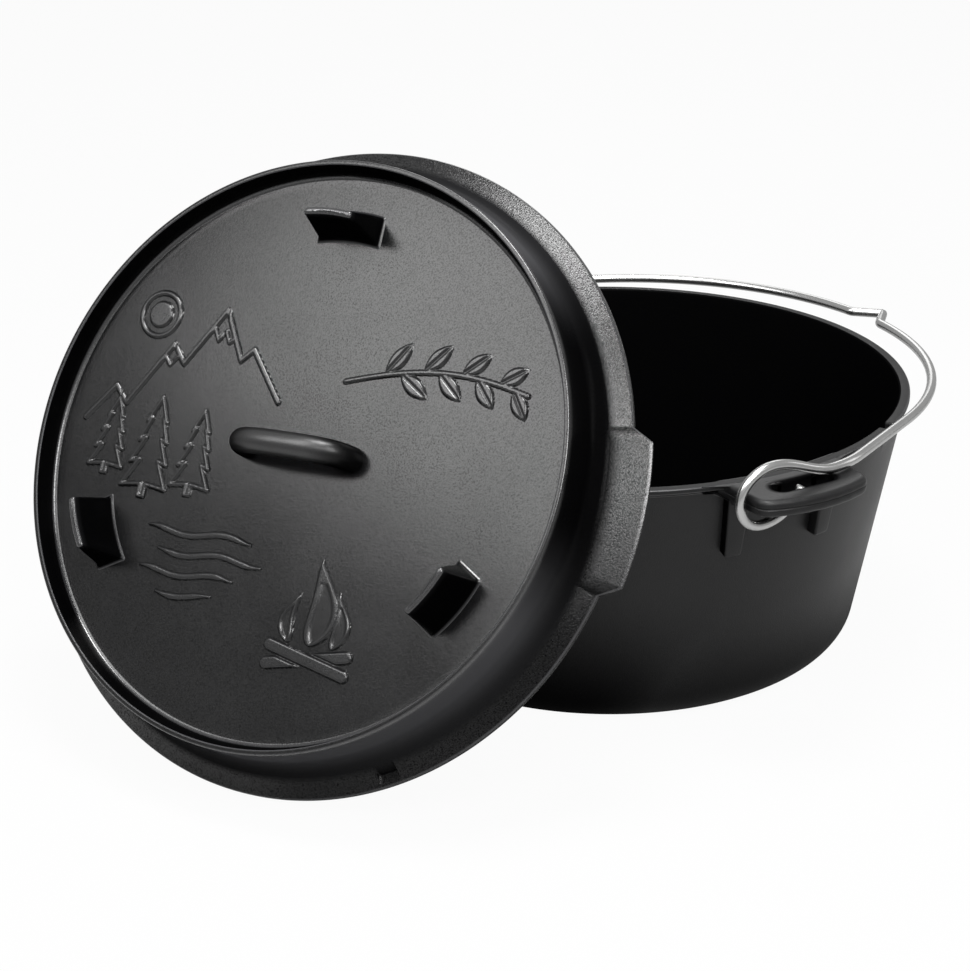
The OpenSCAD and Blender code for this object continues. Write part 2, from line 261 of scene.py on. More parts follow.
def fillet(corners, radii, steps=7, large=0.010, worn=0.003):
    """Open outline through the corners, with each inner corner replaced by an arc of its radius.

    An arc touches both sides at radius / tan(half the corner's angle) from the corner. Arcs of large
    radius get more points. The third column swells to 1 on arcs under the worn radius and is 0
    elsewhere: it marks where an edge wears.
    """
    corners = np.asarray(corners, float)
    rows = [np.append(corners[0], 0.0)[None]]
    for before, corner, after, radius in zip(corners[:-2], corners[1:-1], corners[2:], radii):
        to_a, to_b = unit(before - corner), unit(after - corner)
        half = math.acos(np.clip(to_a @ to_b, -1, 1)) / 2
        centre = corner + unit(to_a + to_b) * radius / math.sin(half)
        start = corner + to_a * radius / math.tan(half) - centre
        end = corner + to_b * radius / math.tan(half) - centre
        turn = math.atan2(start[0] * end[1] - start[1] * end[0], start @ end)
        count = steps if radius < large else 2 * steps + 3
        angle = np.linspace(0, turn, count)
        arc = centre + np.stack(
            [start[0] * np.cos(angle) - start[1] * np.sin(angle),
             start[0] * np.sin(angle) + start[1] * np.cos(angle)], -1)
        wear_and_cove_light = np.sin(np.linspace(0, np.pi, count)) * (radius < worn)
        rows.append(np.column_stack([arc, wear_and_cove_light]))
    rows.append(np.append(corners[-1], 0.0)[None])
    return np.concatenate(rows)


def dense(points, step):
    """The same outline with points added so that no two are further apart than step."""
    run = run_along(points[:, :2])
    keep = np.append(True, np.diff(run) > SAME_POINT)
    run, points = run[keep], points[keep]
    count = np.maximum(np.ceil(np.diff(run) / step).astype(int), 1)
    where = np.concatenate(
        [np.repeat(run[:-1], count)
         + np.concatenate([np.arange(n) / n for n in count]) * np.repeat(np.diff(run), count),
         run[-1:]])
    return np.stack([np.interp(where, run, column) for column in points.T], -1)


def even(path, count):
    """The same path with count points at equal distances along it."""
    run = run_along(path)
    keep = np.append(True, np.diff(run) > SAME_POINT)
    where = np.linspace(0, run[-1], count)
    return np.stack([np.interp(where, run[keep], column) for column in path[keep].T], -1)


def around(radius, height, angle):
    """Points of a turned surface: (radius cos angle, radius sin angle, height)."""
    radius, height, angle = np.broadcast_arrays(radius, height, angle)
    return np.stack([radius * np.cos(angle), radius * np.sin(angle), height], -1)


def surface(name, grid, wrap_rows=False, first=None, last=None, marks=None):
    """Mesh object from a grid of points whose columns close on themselves.

    Rows either close too, or end in a single point each (first, last). Faces are turned
    outwards by the sign of the enclosed volume, the sum of a . (b x c) / 6 over the triangles.
    """
    rows, cols = grid.shape[:2]
    points = grid.reshape(-1, 3)
    i = np.arange(rows if wrap_rows else rows - 1)[:, None]
    j = np.arange(cols)[None, :]
    up, on = (i + 1) % rows, (j + 1) % cols
    quads = np.stack(
        [i * cols + j, i * cols + on, up * cols + on, up * cols + j], -1).reshape(-1, 4)
    tris = np.zeros((0, 3), int)
    ring, beside = np.arange(cols), (np.arange(cols) + 1) % cols
    if first is not None:
        tris = np.concatenate([tris, np.stack([beside, ring, np.full(cols, len(points))], -1)])
        points = np.concatenate([points, np.asarray(first, float)[None]])
    if last is not None:
        base = (rows - 1) * cols
        tris = np.concatenate(
            [tris, np.stack([base + ring, base + beside, np.full(cols, len(points))], -1)])
        points = np.concatenate([points, np.asarray(last, float)[None]])
    every = np.concatenate([quads[:, [0, 1, 2]], quads[:, [0, 2, 3]], tris])
    a, b, c = (points - points.mean(0))[every.T]
    if np.einsum("ij,ij->", a, np.cross(b, c)) < 0:
        quads, tris = quads[:, ::-1], tris[:, ::-1]
    marked = {}
    for label, values in (marks or {}).items():
        values = np.broadcast_to(values, (rows, cols))
        poles = [values[end].mean() for end, pole in ((0, first), (-1, last)) if pole is not None]
        marked[label] = np.append(values.ravel(), poles)
    return mesh_object(name, points, quads, tris, marked)


def capped(name, grid, marks):
    """Surface whose first and last row each close in a point in the middle of the row."""
    return surface(name, grid, first=grid[0].mean(0), last=grid[-1].mean(0), marks=marks)


def at_bearing(radial, aside, level, turn):
    """Points from their distances outwards, sideways and up, at a bearing round the axis."""
    return np.stack(
        [radial * math.cos(turn) - aside * math.sin(turn),
         radial * math.sin(turn) + aside * math.cos(turn), level], -1)


def patch(name, grid, shown, marks, least=0.03, passes=4):
    """Open mesh object from a grid of points, with only the squares where something is shown.

    A square is kept where a corner shows more than least. Two kept squares that touch only at a
    corner get the two beside them too, so that no edge is shared by more than two faces.
    """
    rows, cols = grid.shape[:2]
    at = np.arange(rows * cols).reshape(rows, cols)
    quads = np.stack([at[:-1, :-1], at[:-1, 1:], at[1:, 1:], at[1:, :-1]], -1)
    most = np.maximum.reduce([shown[:-1, :-1], shown[:-1, 1:], shown[1:, 1:], shown[1:, :-1]])
    cells = most > least
    blocks = (cells[:-1, :-1], cells[:-1, 1:], cells[1:, :-1], cells[1:, 1:])
    for _ in range(passes):
        one, two, three, four = blocks
        corner = (one & four & ~two & ~three) | (two & three & ~one & ~four)
        for block in blocks:
            block |= corner
    quads = quads[cells]
    used, quads = np.unique(quads, return_inverse=True)
    marks = {label: values.ravel()[used] for label, values in marks.items()}
    return mesh_object(
        name, grid.reshape(-1, 3)[used], quads.reshape(-1, 4), np.zeros((0, 3), int), marks)


def mesh_object(name, points, quads, tris, marks):
    """Object with a smooth-shaded mesh of the points, its faces, and a number per point as marks."""
    mesh = bpy.data.meshes.new(name)
    mesh.vertices.add(len(points))
    mesh.vertices.foreach_set("co", points.astype(np.float32).ravel())
    corners = np.concatenate([quads.ravel(), tris.ravel()]).astype(np.int32)
    mesh.loops.add(len(corners))
    mesh.loops.foreach_set("vertex_index", corners)
    starts = np.concatenate(
        [np.arange(len(quads)) * 4, len(quads) * 4 + np.arange(len(tris)) * 3]).astype(np.int32)
    mesh.polygons.add(len(starts))
    mesh.polygons.foreach_set("loop_start", starts)
    mesh.polygons.foreach_set("use_smooth", np.ones(len(starts), bool))
    mesh.update(calc_edges=True)
    for label, values in marks.items():
        mesh.attributes.new(label, "FLOAT", "POINT").data.foreach_set("value", values.astype(np.float32))
    if mesh.validate():
        raise RuntimeError(f"{name} has faces that Blender had to remove")
    piece = bpy.data.objects.new(name, mesh)
    bpy.context.scene.collection.objects.link(piece)
    return piece


def box_ring(half_width, half_depth, corner, steps=5, fill=0):
    """Closed ring of a rounded rectangle, for each row of the three arrays.

    A quarter circle of the corner radius sits in each corner, its centre inset by that radius, and
    fill points lie on each of the two wide sides.
    """
    turn = np.linspace(0, np.pi / 2, steps)
    angle = np.concatenate([turn + k * np.pi / 2 for k in range(4)])
    side = np.repeat([[1, 1], [-1, 1], [-1, -1], [1, -1]], steps, axis=0)
    u = side[:, 0] * (half_width - corner)[:, None] + corner[:, None] * np.cos(angle)
    v = side[:, 1] * (half_depth - corner)[:, None] + corner[:, None] * np.sin(angle)
    share = np.linspace(0, 1, fill + 2)[1:-1]

    def filled(row):
        over = row[:, steps - 1 : steps] * (1 - share) + row[:, steps : steps + 1] * share
        back = row[:, 3 * steps - 1 : 3 * steps] * (1 - share) + row[:, 3 * steps : 3 * steps + 1] * share
        return np.concatenate(
            [row[:, :steps], over, row[:, steps : 3 * steps], back, row[:, 3 * steps :]], 1)

    return filled(u), filled(v)


# Materials


class Value:
    """A node's output that takes part in Python arithmetic; each operation adds a Math node."""

    def __init__(self, finish, socket):
        self.finish, self.socket = finish, socket

    def math(self, operation, first, second):
        made = self.finish.node("ShaderNodeMath", {"operation": operation}, {0: first, 1: second})
        return made[0]

    def __add__(self, other):
        return self.math("ADD", self, other)

    __radd__ = __add__

    def __mul__(self, other):
        return self.math("MULTIPLY", self, other)

    __rmul__ = __mul__

    def __sub__(self, other):
        return self.math("SUBTRACT", self, other)

    def __rsub__(self, other):
        return self.math("SUBTRACT", other, self)

    def at_least(self, low):
        """The larger of this value and low."""
        return self.math("MAXIMUM", self, low)


class Made:
    """A node, indexed by output name or number."""

    def __init__(self, finish, node):
        self.finish, self.node = finish, node

    def __getitem__(self, key):
        return Value(self.finish, self.node.outputs[key])


class Finish:
    """The node tree of a material or a world under construction."""

    def __init__(self, owner):
        owner.use_nodes = True
        self.owner, self.tree = owner, owner.node_tree
        self.tree.nodes.clear()

    def node(self, kind, settings=None, inputs=None):
        """Adds a node: its settings first, then a value or a link for each named socket."""
        made = self.tree.nodes.new(kind)
        for key, value in (settings or {}).items():
            setattr(made, key, value)
        for key, value in (inputs or {}).items():
            if isinstance(value, Value):
                self.tree.links.new(value.socket, made.inputs[key])
            else:
                made.inputs[key].default_value = value
        return Made(self, made)

    def blend(self, factor, low, high):
        """Colour between low and high by factor."""
        made = self.node(
            "ShaderNodeMix", {"data_type": "RGBA"}, {0: factor, 6: (*low, 1), 7: (*high, 1)})
        return made[2]

    def mark(self, name):
        """The number that a mesh keeps under that name at each point."""
        return self.node("ShaderNodeAttribute", {"attribute_name": name})["Fac"]

    def noise(self, vector, scale, detail, roughness):
        """Fractal noise from 0 to 1."""
        return self.node("ShaderNodeTexNoise", None, {
            "Vector": vector, "Scale": scale, "Detail": detail, "Roughness": roughness})["Fac"]

    def seen_directly(self, by_camera, by_mirror):
        """Share for what the camera sees, and for what a reflection or refraction sees; else 0."""
        path = self.node("ShaderNodeLightPath")
        mirrored = 1 - (1 - path["Is Glossy Ray"]) * (1 - path["Is Transmission Ray"])
        return path["Is Camera Ray"] * by_camera + mirrored * by_mirror

    def done(self, shader, kind="ShaderNodeOutputMaterial"):
        """Ends the tree in the output node and gives the material or world."""
        self.node(kind, None, {"Surface": shader})
        return self.owner


def iron_finish(name, colours, grain, gloss, bend, pitted):
    """Seasoned cast iron: oiled skin with sand grain and cloudy gloss, mixed with a dull black that is
    mostly painted shade.

    Dark sand pits and the mark of soot and painted shade give the share of the dull part. The mark of wear,
    which in the lid's cove holds painted light, makes the oiled part paler and glossier and turns the dull
    black into grey; the mark coarse deepens the sand grain and the pits.
    """
    finish = Finish(bpy.data.materials.new(name))
    place = finish.node("ShaderNodeTexCoord")["Object"]
    sand = finish.noise(place, 1350.0, 2.0, 0.6)
    pebble = finish.noise(place, 400.0, 2.0, 0.5)
    cloud = finish.noise(place, 24.0, 4.0, 0.55)
    # worn holds edge wear, and painted light in the lid's cove
    worn, coarse, soot_and_shade = finish.mark("wear_and_cove_light"), finish.mark("coarse"), finish.mark("soot_and_shade")
    show = cloud * 0.26 + worn * pebble * 0.9 + coarse * sand * 0.3
    height = sand * (coarse * 3.5 + 0.9) + pebble * 0.25
    pits = coarse * 0.25 + pitted
    bump = finish.node("ShaderNodeBump", None, {
        "Strength": 0.9, "Distance": grain, "Height": height})["Normal"]
    oiled = finish.node("ShaderNodeBsdfPrincipled", None, {
        "Base Color": finish.blend(show, colours.iron, colours.iron_worn),
        "Roughness": cloud * 0.14 + sand * 0.08 + (gloss - 0.11) + coarse * 0.04,
        "Normal": bump,
        "IOR": bend,
        "Coat Weight": worn * 0.8,
        "Coat Roughness": 0.25,
    })["BSDF"]
    # The dull part: a flat black for painted shade, grey where the cove's painted light lies
    dull = finish.node("ShaderNodeBsdfPrincipled", None, {
        "Base Color": finish.blend(worn, colours.soot_and_shade, colours.ash_and_painted_light),
        "Roughness": 0.9,
        "Normal": bump,
        "Specular IOR Level": 0.0,
    })["BSDF"]
    dark = soot_and_shade + ((0.55 - sand) * 5.0).at_least(0.0) * pits * (1 - soot_and_shade)
    mixed = finish.node("ShaderNodeMixShader", None, {0: dark, 1: oiled, 2: dull})[0]
    return finish.done(mixed)


def wire_finish(name, colours):
    """Drawn bright wire: metal with faint cloudy polish and fine draw marks."""
    finish = Finish(bpy.data.materials.new(name))
    place = finish.node("ShaderNodeTexCoord")["Object"]
    marks = finish.noise(place, 700.0, 3.0, 0.6)
    cloud = finish.noise(place, 60.0, 3.0, 0.5)
    dark = tuple(0.86 * c for c in colours.steel)
    bump = finish.node("ShaderNodeBump", None, {
        "Strength": 0.25, "Distance": 0.00006, "Height": marks})["Normal"]
    shader = finish.node("ShaderNodeBsdfPrincipled", None, {
        "Base Color": finish.blend(cloud, dark, colours.steel),
        "Metallic": 1.0,
        "Roughness": cloud * 0.10 + marks * 0.06 + 0.17,
        "Normal": bump,
    })["BSDF"]
    return finish.done(shader)


def dress(piece, material, body, node=None):
    """Gives a finished piece its material and its body, and hides the imported part that it stands for."""
    piece.data.materials.append(material)
    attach(piece, body)
    if node:
        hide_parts(node)


def iron_of(name, colours):
    """The iron of that name, made on first use."""
    return bpy.data.materials.get(name) or iron_finish(name, colours, *IRONS[name])


# Pot


def wall_line(pot):
    """Slope of the outer wall and a function giving its radius at a height."""
    slope = (pot.rim_radius - pot.step - pot.base_radius) / pot.height
    return slope, lambda z: pot.base_radius + z * slope


def pot_profile(pot):
    """Half section of the pot, from the middle of its bottom out, over the rim and down inside."""
    slope, wall = wall_line(pot)
    skin = pot.wall * math.hypot(1, slope)
    band = pot.height - pot.band
    under = band - pot.step
    corners = np.array([  # distance from the axis, height, rounding
        (POLE_RING, 0.0, 0.0), (wall(0.0), 0.0, pot.edge),
        (wall(under), under, 0.0010), (pot.rim_radius, band, 0.0009),
        (pot.rim_radius, pot.height, 0.0009), (wall(pot.height) - skin, pot.height, 0.0012),
        (wall(pot.floor) - skin, pot.floor, pot.edge - pot.wall), (POLE_RING, pot.floor, 0.0),
    ])
    return dense(fillet(corners[:, :2], corners[1:-1, 2]), 0.004)


def notch_columns(bearing_at, half, count):
    """Evenly spread bearings with a close group on both sides of a notch."""
    plain = np.linspace(-np.pi, np.pi, count, endpoint=False)
    near = bearing_at + half * np.array(
        [-2.2, -1.7, -1.35, -1.15, -1.05, -0.97, -0.85, -0.65, -0.35, 0,
         0.35, 0.65, 0.85, 0.97, 1.05, 1.15, 1.35, 1.7, 2.2])
    plain = plain[np.abs(wrapped(plain - bearing_at)) > 2.5 * half]
    return np.sort(np.concatenate([plain, wrapped(near)]))


class OVEN_OT_pot(bpy.types.Operator):
    """Turn the pot's half section about its axis and sink the notch into the rim"""

    bl_idname = "oven.pot"
    bl_label = "Pot"

    def execute(self, context):
        pot = context.scene.oven_pot
        radius, height, wear_and_cove_light = (column[:, None] for column in pot_profile(pot).T)
        rim = np.flatnonzero(height > pot.height - 1e-6)[-1]
        inside = np.arange(len(height))[:, None] > rim
        half = pot.notch_width / 2 / pot.rim_radius
        angle = notch_columns(pot.notch_bearing, half, 336)[None, :]
        # Darker towards the bottom of the outer wall
        bottom = SOOT_AND_SHADE["pot bottom"] * (1 - smooth(height, 0.004, 0.060))
        # Painted shade dulls the rim top
        rim_top = SOOT_AND_SHADE["rim top"] * smooth(height, pot.height - 0.0012, pot.height - 0.0004)
        # Painted shadow of the lid on the low wall beside it
        beside = toward(np.cos(angle - pot.painted_shade_bearing), 8, 42) * (1 - smooth(height, 0.010, 0.085))
        outside = np.maximum(bottom + rim_top, SOOT_AND_SHADE["wall beside the lid"] * beside)
        # The whole inside gets painted shade
        marks = {"wear_and_cove_light": wear_and_cove_light * ~inside, "soot_and_shade": np.where(inside, SOOT_AND_SHADE["pot inside"], outside)}
        off = np.abs(wrapped(angle - pot.notch_bearing)) / half
        sunk = pot.notch_depth * (1 - smooth(off, 0.72, 1.12))
        lowest = pot.height - pot.notch_depth * 2.2
        share = np.clip((height - lowest) / (pot.height - lowest), 0, 1)
        grid = around(radius, height - share * sunk, angle)
        piece = surface("pot_shell", grid, first=(0, 0, 0), last=(0, 0, pot.floor), marks=marks)
        iron = iron_of("seasoned_pot_iron", context.scene.oven_finish)
        dress(piece, iron, "pot_body", "pot")
        return {"FINISHED"}


def ear_outline(ear, pot, count):
    """Closed outline of one ear seen from above, with its root inside the pot's wall.

    Points are (sideways, outwards). The sides flare into the rim, the front is an arc.
    """
    front = pot.rim_radius + ear.reach
    centre = front - ear.bow
    bow = np.linspace(-0.8, 0.8, 7) * math.asin(ear.half / ear.bow)
    arc = np.column_stack([ear.bow * np.sin(bow), centre + ear.bow * np.cos(bow)])
    corner = centre + math.sqrt(ear.bow**2 - ear.half**2)
    out = wall_line(pot)[1](pot.height - ear.drop - ear.thick) - 0.0004
    foot = ear.half + 0.0095
    root = out - 0.0025
    back = np.linspace(0.93, -0.93, 9) * math.asin(foot / root)
    side = np.array([
        (foot, math.sqrt(out**2 - foot**2)), (ear.half + 0.002, pot.rim_radius - 0.0045),
        (ear.half, corner)])
    corners = np.concatenate([
        side * (-1, 1), arc, side[::-1],
        np.column_stack([root * np.sin(back), root * np.cos(back)]), side[:1] * (-1, 1)])
    bends = [0.0085, 0.0080]
    radii = np.concatenate([bends, np.full(len(arc), 0.02), bends[::-1], [0.0012], np.full(9, 0.02)])
    line = fillet(corners, radii, 9)[:-1, :2]
    return even(np.concatenate([line, line[:1]]), count + 1)[:-1]


def inward(outline):
    """Unit normals of a closed outline, pointing to its inside."""
    along = np.roll(outline, -1, 0) - np.roll(outline, 1, 0)
    normal = unit(np.column_stack([along[:, 1], -along[:, 0]]))
    facing = np.einsum("ij,ij->", normal, outline.mean(0) - outline)
    return normal if facing > 0 else -normal


def slot_outline(ear, middle, towards):
    """Point of the oblong slot on the ray from its middle towards each outline point.

    The ray meets a straight side at half width / |sin|, else the round end at
    a |cos| + sqrt(r2 - a2 sin2), with a the half length of the straight part.
    """
    ray = unit(towards - middle)
    r = ear.slot_width / 2
    a = ear.slot_half - r
    side = r / np.maximum(np.abs(ray[:, 1]), 1e-6)
    end = a * np.abs(ray[:, 0]) + np.sqrt(np.maximum(r * r - (a * ray[:, 1]) ** 2, 0))
    reach = np.where(side * np.abs(ray[:, 0]) <= a, side, end)
    return middle + ray * reach[:, None]


def ear_section(ear):
    """Ring of an ear's cross-section as (share from slot to front, inset, height).

    The four edges are quarter circles, and a shallow parting groove runs round the front face.
    """
    half = ear.thick / 2
    quarter = np.linspace(0, np.pi / 2, 6)
    top, inner = 0.0026, 0.0014
    parts = [
        np.column_stack([np.zeros(6), inner * (1 - np.sin(quarter[::-1])),
                         -half + inner * (1 - np.cos(quarter[::-1]))])[::-1],
        np.column_stack([np.zeros(6), inner * (1 - np.cos(quarter)),
                         half - inner + inner * np.sin(quarter)]),
        np.column_stack([np.linspace(0.15, 0.85, 5), np.full(5, 0.002), np.full(5, half)]),
        np.column_stack([np.ones(6), top * (1 - np.sin(quarter)),
                         half - top * (1 - np.cos(quarter))]),
        np.column_stack([np.ones(5), [0, 0.0001, 0.0012, 0.0001, 0],
                         np.array([0.0010, 0.0005, 0.0001, -0.0003, -0.0008])]),
        np.column_stack([np.ones(6), top * (1 - np.cos(quarter)),
                         -half + top - top * np.sin(quarter)]),
        np.column_stack([np.linspace(0.85, 0.15, 5), np.full(5, 0.002), np.full(5, -half)]),
    ]
    return np.concatenate(parts)


class OVEN_OT_ears(bpy.types.Operator):
    """Carry the ear's rounded section round the slot, between slot and outline, for both ears"""

    bl_idname = "oven.ears"
    bl_label = "Ears"

    def execute(self, context):
        pot, ear = context.scene.oven_pot, context.scene.oven_ear
        outline = ear_outline(ear, pot, 300)
        middle = np.array([0.0, pot.rim_radius + ear.reach * 0.41])
        slot = slot_outline(ear, middle, outline)
        into_slot, into_front = -inward(slot), inward(outline)
        share, inset, height = (column[:, None, None] for column in ear_section(ear).T)
        from_axis = np.linalg.norm(outline, axis=1)
        free = smooth(from_axis, pot.rim_radius, pot.rim_radius + 0.006)[:, None]
        into_front = into_front * (0.12 + 0.88 * free)
        flat = (1 - share) * (slot + into_slot * inset) + share * (outline + into_front * inset)
        near = 1 - smooth(np.linalg.norm(flat, axis=-1), pot.rim_radius, pot.rim_radius + 0.014)
        lift = near * np.clip(height[..., 0] / ear.thick * 2, 0, 1) * (ear.drop - 0.0001)
        thin = 1 - 0.62 * smooth(np.abs(flat[..., 0]), ear.half - 0.0005, ear.half + 0.0070)
        level = pot.height - ear.drop - (ear.thick / 2 - height[..., 0]) * thin + lift
        iron = iron_of("seasoned_pot_iron", context.scene.oven_finish)
        for name, sign in (("ear_front", -1), ("ear_back", 1)):
            grid = np.stack([-sign * flat[..., 0], sign * flat[..., 1], level], -1)
            # Painted shade on the slot's wall
            piece = surface(
                name, grid, wrap_rows=True, marks={"soot_and_shade": SOOT_AND_SHADE["ear slot"] * (share[..., 0] < 0.05)})
            dress(piece, iron, "pot_body")
        return {"FINISHED"}


def bar_rows(length_along, foot_flare, end_round, steps=7):
    """Rows along a bar as (place from 0 to length, inset): a flared foot and a rounded end.

    The foot's flare and the end's rounding are quarter circles.
    """
    quarter = np.linspace(0, np.pi / 2, steps)
    foot = np.column_stack(
        [foot_flare * (1 - np.cos(quarter)), -foot_flare * (1 - np.sin(quarter))])
    body = np.column_stack([np.linspace(foot_flare, length_along - end_round, 8)[1:-1], np.zeros(6)])
    end = np.column_stack(
        [length_along - end_round * (1 - np.sin(quarter)), end_round * (1 - np.cos(quarter))])
    rows = np.concatenate([foot, body, end])
    return rows[np.append(True, np.linalg.norm(np.diff(rows, axis=0), axis=1) > SAME_POINT)]


class OVEN_OT_ribs(bpy.types.Operator):
    """Set a tapered, round-edged rib on the wall below each side of both ears"""

    bl_idname = "oven.ribs"
    bl_label = "Ribs"

    def execute(self, context):
        pot, ear = context.scene.oven_pot, context.scene.oven_ear
        slope, wall = wall_line(pot)
        top = pot.height - ear.drop - ear.thick
        tilt = math.atan(slope)
        above, within, end_round, edge_round = 0.004, 0.002, 0.0022, 0.0012
        rows = bar_rows(ear.rib_length + above, 0.0, end_round)
        share = np.clip(rows[:, 0] / ear.rib_length, 0, 1)
        half = ear.rib_width / 2 * (1.04 - 0.24 * share) - rows[:, 1]
        deep = (ear.rib_depth + within - rows[:, 1]) / 2
        u, v = box_ring(half, deep, edge_round - rows[:, 1] * 0.4)
        out = v + deep[:, None] - within
        down = np.broadcast_to(rows[:, :1] - above, u.shape)
        radial = wall(top) + out * math.cos(tilt) - down * math.sin(tilt)
        level = top - down * math.cos(tilt) - out * math.sin(tilt)
        # Painted shade on the sides of each rib, deep on the left ribs and faint on the right ones
        flank = np.tile([1.0, 0.6, 0.2, 0, 0, 0, 0, 0.2, 0.6, 1.0], 2)
        iron = iron_of("seasoned_pot_iron", context.scene.oven_finish)
        for name, sign in (("front", -1), ("back", 1)):
            for where, k in (("left", -1), ("right", 1)):
                turn = sign * math.pi / 2 + k * math.asin(ear.rib_half / wall(top))
                grid = at_bearing(radial, u, level, turn)
                piece = capped(f"rib_{name}_{where}", grid, {"soot_and_shade": SOOT_AND_SHADE[f"{where} rib"] * flank})
                dress(piece, iron, "pot_body")
        return {"FINISHED"}


# Lid


def stand(points, pot, lid):
    """Lid points from the lid's own frame to where it stands.

    The lid is spun about its axis, tilted, moved along its plane, then set at the distance at
    which its flange plane clears the pot's rim by the lean gap.
    """
    rise = lid.flange_radius * math.sin(lid.lean)
    far = (
        pot.rim_radius * math.sin(lid.lean) + pot.height * math.cos(lid.lean)
        + lid.lean_gap - rise * math.cos(lid.lean)
    ) / math.sin(lid.lean)
    place = (
        Matrix.Rotation(lid.lean_bearing, 4, "Z")
        @ Matrix.Translation((far, lid.lean_side, rise))
        @ Matrix.Rotation(lid.lean, 4, "Y")
        @ Matrix.Rotation(math.pi / 2 + lid.spin, 4, "Z")
    )
    turn = np.array(place)
    return points @ turn[:3, :3].T + turn[:3, 3]


def tray_level(lid):
    """Height of the coal tray above the flange's under side."""
    return lid.coal_height - lid.tray_depth


def lid_profile(lid):
    """Half section of the lid: tray, coal rim, wall, cove, flange, lip and hollow.

    The flange's slope gets 24 rows, close enough to carry the notch.
    """
    tray = tray_level(lid)
    ceiling = tray - lid.thick
    inside = lid.coal_radius - lid.coal_thick
    crest = lid.coal_radius - lid.coal_thick * 0.6
    hollow = lid.lip_radius - lid.thick
    corners = np.array([  # distance from the axis, height, rounding
        (POLE_RING, tray, 0.0), (inside - 0.0012, tray, 0.0022),
        (crest, lid.coal_height, 0.0007), (lid.coal_radius, lid.coal_height, 0.0009),
        (lid.coal_radius + 0.0010, lid.flange_height + 0.0050, 0.0140),
        (lid.flange_radius - lid.flange_width, lid.flange_height, 0.0004),
        (lid.flange_radius, lid.flange_edge, 0.0017), (lid.flange_radius, 0.0, 0.0012),
        (lid.lip_radius, 0.0, 0.0008), (lid.lip_radius, -lid.lip, 0.0012),
        (hollow, -lid.lip, 0.0012), (hollow - 0.006, ceiling, 0.006), (POLE_RING, ceiling, 0.0),
    ])
    rows = dense(fillet(corners[:, :2], corners[1:-1, 2]), 0.0035)
    sloping = (rows[:, 0] > lid.flange_radius - 0.0094) & (rows[:, 1] > lid.flange_edge + 0.0004)
    first, last = np.flatnonzero(sloping)[[0, -1]]
    close = np.linspace(0, 1, 24)[:, None]
    return np.concatenate(
        [rows[: first + 1], rows[first] + close[1:-1] * (rows[last] - rows[first]), rows[last:]])


def off_lug(angle):
    """Angle between each bearing and the nearer end of the handle's line, the middle of a lug."""
    return np.abs(wrapped(2 * angle) / 2)


def lug_reach(lid, angle):
    """Outer radius of the flange at a bearing, with a tapered lug at both ends of the handle's line."""
    return np.interp(
        off_lug(angle), [lid.lug_half, lid.lug_root], [lid.flange_radius + lid.lug_out, lid.flange_radius])


def lid_columns(lid):
    """Evenly spread bearings with close groups at the lug corners and the notch walls."""
    half = lid.notch_width / 2 / lid.flange_radius
    plain = notch_columns(lid.notch_bearing, half, 420)
    edge = np.array([lid.lug_half, lid.lug_root, -lid.lug_half, -lid.lug_root])
    fine = np.radians([-0.5, -0.25, -0.08, 0.08, 0.25, 0.5])
    lugs = (edge[:, None] + fine).ravel()
    every = np.sort(np.concatenate([plain, lugs, wrapped(lugs + np.pi)]))
    return every[np.append(True, np.diff(every) > np.radians(0.03))]


def lid_marks(lid, radius, height, wear_and_cove_light, angle):
    """Marks of the lid by place in its half section and bearing.

    The cove is painted black as shade, with grey painted light that thins to its foot and to both ends of
    one line. The tray's wall gets painted shade, and the flange is coarse, with painted shade on its low
    side and in the creases at the lugs' ends.
    """
    shelf = lid.flange_radius - lid.flange_width
    coarse = smooth(radius, shelf - 0.0003, shelf + 0.0003)
    cove = (radius > lid.coal_radius - 0.0003) & (radius < shelf + 0.0001) & (height > lid.flange_edge)
    fall = (lid.coal_height - height) / (lid.coal_height - lid.flange_height)
    # Painted shade and light on the cove: black at its foot and at both ends of the cove bearing's line,
    # grey painted light elsewhere
    ends = toward(np.abs(np.cos(angle - lid.cove_bearing)), 15, 40)
    ash_and_painted_light = (1 - 0.99 * ends) * (1 - 0.85 * smooth(fall, 0.5, 1.0))
    # Painted shade on the tray's inner wall
    within = np.abs(radius - lid.coal_radius + lid.coal_thick) < 0.0020
    above = smooth(height, tray_level(lid) + 0.0006, tray_level(lid) + 0.002)
    below = smooth(lid.coal_height - height, -0.0003, 0.0003)
    soot_and_shade = SOOT_AND_SHADE["cove"] * cove * smooth(fall, 0.02, 0.15) + SOOT_AND_SHADE["tray wall"] * within * above * below
    # Painted shade on the flange's low side and in the creases at the lugs' roots
    low = toward(np.cos(angle - lid.painted_shade_bearing), 26, 42)
    root = np.abs(off_lug(angle) - lid.lug_root + math.radians(0.3))
    crease = 1 - smooth(root, math.radians(0.2), math.radians(0.6))
    soot_and_shade = np.maximum(soot_and_shade, coarse * np.maximum(SOOT_AND_SHADE["low flange"] * low, SOOT_AND_SHADE["lug root"] * crease))
    return {"wear_and_cove_light": np.where(cove & (fall > 0.01), ash_and_painted_light, wear_and_cove_light), "coarse": coarse, "soot_and_shade": soot_and_shade}


